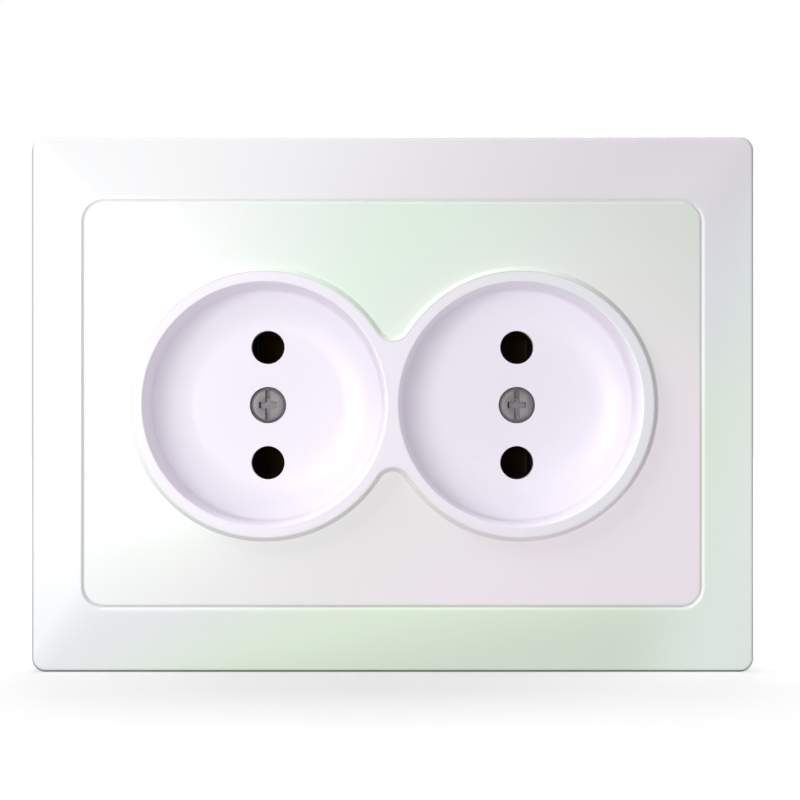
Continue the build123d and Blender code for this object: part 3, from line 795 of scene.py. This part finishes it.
def makeBrass(name, finish):
    # The strip is painted dark inside its channel, as tarnish and as painted shade behind the pin holes, and
    # stays bright on the terminal tabs
    material = makeMetal(name, finish)
    nodes, links = material.node_tree.nodes, material.node_tree.links
    shader = nodes["Principled BSDF"]
    place = addNode(nodes, "ShaderNodeTexCoord", (-900, 500))
    parts = addNode(nodes, "ShaderNodeSeparateXYZ", (-700, 500))
    links.new(place.outputs["Object"], parts.inputs[0])
    off = addNode(nodes, "ShaderNodeMath", (-540, 500), operation="ABSOLUTE")
    links.new(parts.outputs["Z"], off.inputs[0])
    bright = addNode(nodes, "ShaderNodeMapRange", (-380, 500))
    bright.inputs["From Min"].default_value = finish["brightFrom"]
    bright.inputs["From Max"].default_value = finish["brightTo"]
    links.new(off.outputs[0], bright.inputs["Value"])
    factor, lower, upper, result = mixColor(nodes, (-200, 400))
    lower.default_value = finish["tarnishAndShade"]
    links.new(bright.outputs["Result"], factor)
    links.new(shader.inputs["Base Color"].links[0].from_socket, upper)
    links.new(result, shader.inputs["Base Color"])
    rough = addNode(nodes, "ShaderNodeMix", (-200, 150), data_type="FLOAT")
    rough.inputs["A"].default_value = finish["tarnishRough"]
    links.new(bright.outputs["Result"], rough.inputs["Factor"])
    links.new(shader.inputs["Roughness"].links[0].from_socket, rough.inputs["B"])
    links.new(rough.outputs["Result"], shader.inputs["Roughness"])
    return material


basePlastic = {
    "dark": (0.012, 0.012, 0.013, 1), "light": (0.03, 0.03, 0.032, 1),
    "skin": {"Grain Scale": 1800.0, "Rough Low": 0.45, "Rough High": 0.6},
    "bump": 0.15, "bumpDepth": 0.0001, "cloud": {"Scale": 160, "Detail": 4},
}


def makeBasePlastic(name, finish):
    material, nodes, links, shader = newMaterial(name)
    place = addNode(nodes, "ShaderNodeTexCoord", (-900, 0))
    cloud = addNoise(nodes, (-650, 250), finish["cloud"])
    links.new(place.outputs["Object"], cloud.inputs["Vector"])
    factor, lower, upper, result = mixColor(nodes, (-400, 250))
    lower.default_value = finish["dark"]
    upper.default_value = finish["light"]
    links.new(cloud.outputs["Fac"], factor)
    links.new(result, shader.inputs["Base Color"])
    skin = placeGroup(nodes, mouldedSkin, (-600, -200), finish["skin"])
    links.new(place.outputs["Object"], skin.inputs["Vector"])
    links.new(skin.outputs["Roughness"], shader.inputs["Roughness"])
    addBump(nodes, links, skin.outputs["Height"], shader, finish["bump"], finish["bumpDepth"])
    return material


paint(makePearl("framePearl", framePearl), "frame")
paint(makePearl("platePearl", platePearl), "cover_plate")
paint(makePearl("wellPlastic", wellPlastic), "socket_insert")
paint(makeCoverSteel("coverScrewSteel", coverScrewSteel), "cover_screws")
paint(makeMetal("zincSheet", zincSheet), "mounting_strap", "upper_claw", "lower_claw",
      "terminal_clamp_1", "terminal_clamp_2", "terminal_clamp_3", "terminal_clamp_4")
paint(makeMetal("platedSteel", platedSteel), "cover_nuts", "terminal_screws", "rivets",
      "upper_claw_screw", "lower_claw_screw")
paint(makeBrass("contactBrass", contactBrass), "upper_contact", "lower_contact")
paint(makeBasePlastic("basePlastic", basePlastic), "base", "contact_lid")
print("stage: materials made")


# Floor, light and camera

studio = {
    "floorSize": 6.0, "floorColor": (0.8, 0.8, 0.8, 1), "ambient": 0.42, "ambientColor": (1.0, 1.0, 1.0, 1),
    "backdrop": 1.0, "backdropColor": (1, 1, 1, 1),
    # painted shadow: the floor's glow is weaker near the object, in a stretched patch round shadowMiddle,
    # darkening the floor there on top of its real shadow
    "shadowMiddle": (-0.006, 0, 0), "shadowShape": (1.3, 1, 1),
    "floorLifts": [(0.015, 0.088, 0.355, 0.535), (0.12, 0.35, 0.0, 0.33)],       # from, to, near, far
}
keyLamp = {"place": (-0.15, -0.45, 0.0), "aim": (0, -0.012, 0), "size": 0.2, "power": 1.14}
sideLamp = {"place": (-0.70, -0.16, 0.70), "aim": (0, -0.012, 0), "size": 0.4, "power": 6.5}
backLamp = {"place": (0.0, 0.45, 0.75), "aim": (0, 0, -0.04), "size": 0.5, "power": 2.1}


def seenRays(nodes, links):
    # 1 for what the camera sees, also by way of gloss or glass
    rays = addNode(nodes, "ShaderNodeLightPath", (-1100, -100))
    direct = addNode(nodes, "ShaderNodeMath", (-900, -100), operation="MAXIMUM")
    links.new(rays.outputs["Is Camera Ray"], direct.inputs[0])
    links.new(rays.outputs["Is Glossy Ray"], direct.inputs[1])
    seen = addNode(nodes, "ShaderNodeMath", (-700, -100), operation="MAXIMUM")
    links.new(direct.outputs[0], seen.inputs[0])
    links.new(rays.outputs["Is Transmission Ray"], seen.inputs[1])
    return seen.outputs[0]


def makeFloor():
    bpy.ops.mesh.primitive_plane_add(size=studio["floorSize"], location=(0, 0, cadLow.z))
    floor = bpy.context.object
    floor.name = "paleFloor"
    material, nodes, links, shader = newMaterial("paleFloor")
    nodes.remove(shader)
    output = nodes["Material Output"]
    diffuse = addNode(nodes, "ShaderNodeBsdfDiffuse", (-300, 100))
    diffuse.inputs["Color"].default_value = studio["floorColor"]
    lift = addNode(nodes, "ShaderNodeEmission", (-300, -100))
    place = addNode(nodes, "ShaderNodeTexCoord", (-1300, -400))
    shaped = addNode(nodes, "ShaderNodeVectorMath", (-1200, -400), operation="MULTIPLY")
    shaped.inputs[1].default_value = studio["shadowShape"]
    links.new(place.outputs["Object"], shaped.inputs[0])
    away = addNode(nodes, "ShaderNodeVectorMath", (-1050, -400), operation="DISTANCE")
    away.inputs[1].default_value = studio["shadowMiddle"]
    links.new(shaped.outputs["Vector"], away.inputs[0])
    # the glow seen by camera, gloss and glass rays is weaker near the object, as a painted shadow
    both = addNode(nodes, "ShaderNodeMath", (-700, -400), operation="ADD")
    for index, (start, end, near, far) in enumerate(studio["floorLifts"]):
        fade = addNode(nodes, "ShaderNodeMapRange", (-900, -400 - 300 * index), interpolation_type="SMOOTHSTEP")
        fade.inputs["From Min"].default_value = start
        fade.inputs["From Max"].default_value = end
        fade.inputs["To Min"].default_value = near
        fade.inputs["To Max"].default_value = far
        links.new(away.outputs["Value"], fade.inputs["Value"])
        links.new(fade.outputs["Result"], both.inputs[index])
    strength = addNode(nodes, "ShaderNodeMath", (-500, -100), operation="MULTIPLY")
    links.new(seenRays(nodes, links), strength.inputs[0])
    links.new(both.outputs[0], strength.inputs[1])
    links.new(strength.outputs[0], lift.inputs["Strength"])
    total = addNode(nodes, "ShaderNodeAddShader", (-100, 0))
    links.new(diffuse.outputs[0], total.inputs[0])
    links.new(lift.outputs[0], total.inputs[1])
    links.new(total.outputs[0], output.inputs["Surface"])
    floor.data.materials.append(material)
    return floor


def makeWorld():
    world = bpy.data.worlds.new("softRoom")
    bpy.context.scene.world = world
    world.use_nodes = True
    nodes, links = world.node_tree.nodes, world.node_tree.links
    room = nodes["Background"]
    room.inputs["Color"].default_value = studio["ambientColor"]
    room.inputs["Strength"].default_value = studio["ambient"]
    white = addNode(nodes, "ShaderNodeBackground", (-200, -200))
    white.inputs["Color"].default_value = studio["backdropColor"]
    white.inputs["Strength"].default_value = studio["backdrop"]
    mix = addNode(nodes, "ShaderNodeMixShader", (50, 0))
    links.new(seenRays(nodes, links), mix.inputs[0])
    links.new(room.outputs[0], mix.inputs[1])
    links.new(white.outputs[0], mix.inputs[2])
    links.new(mix.outputs[0], nodes["World Output"].inputs["Surface"])


def makeLamp(name, lampSetting):
    bpy.ops.object.light_add(type="AREA", location=lampSetting["place"])
    holder = bpy.context.object
    holder.name = name
    holder.data.shape = "DISK"
    holder.data.size = lampSetting["size"]
    holder.data.energy = lampSetting["power"]
    way = holder.location - Vector(lampSetting["aim"])
    holder.rotation_euler = way.to_track_quat("Z", "Y").to_euler()
    return holder


def lampGroup(name, things, state):
    kept = bpy.data.collections.new(name)
    for thing in things:
        kept.objects.link(thing)
    for member in kept.collection_objects:
        member.light_linking.link_state = state
    return kept


def keepOff(lamp, things):
    # Leaves some things out of a lamp's light: the front lamps would burn out the floor
    lamp.light_linking.receiver_collection = lampGroup("unlitBy" + lamp.name, things, "EXCLUDE")


def lightOnly(lamp, things):
    lamp.light_linking.receiver_collection = lampGroup("litBy" + lamp.name, things, "INCLUDE")


def passThrough(lamp, things):
    # The raking lamp stands for a wide soft light, so the low rims cast no hard shadow from it
    lamp.light_linking.blocker_collection = lampGroup("unshadowedBy" + lamp.name, things, "EXCLUDE")


photo = {
    "imageSize": 800, "focalPixels": 2025.6, "axisX": 382.5, "axisY": 434.2,
    "place": (-0.00163, -0.3389, -0.0048), "sensor": 36.0, "clipStart": 0.01,
}


def makeCamera():
    data = bpy.data.cameras.new("photoCamera")
    data.sensor_width = photo["sensor"]
    data.lens = photo["focalPixels"] / photo["imageSize"] * photo["sensor"]
    middle = photo["imageSize"] / 2
    data.shift_x = (middle - photo["axisX"]) / photo["imageSize"]
    data.shift_y = (photo["axisY"] - middle) / photo["imageSize"]
    data.clip_start = photo["clipStart"]
    camera = bpy.data.objects.new("photoCamera", data)
    camera.location = photo["place"]
    camera.rotation_euler = (math.radians(90), 0, 0)
    bpy.context.scene.collection.objects.link(camera)
    bpy.context.scene.camera = camera


floor = makeFloor()
makeWorld()
flatFronts = [shown[node] for node in ("frame", "cover_plate")]
keepOff(makeLamp("keyLamp", keyLamp), [floor])
keepOff(makeLamp("sideLamp", sideLamp), [floor] + flatFronts)
rakingLamp = makeLamp("rakingLamp", sideLamp)       # the side lamp again, for the flat fronts alone
lightOnly(rakingLamp, flatFronts)
passThrough(rakingLamp, flatFronts)
makeLamp("backLamp", backLamp)
makeCamera()
bpy.context.scene.view_settings.view_transform = "Standard"
print("stage: studio made")
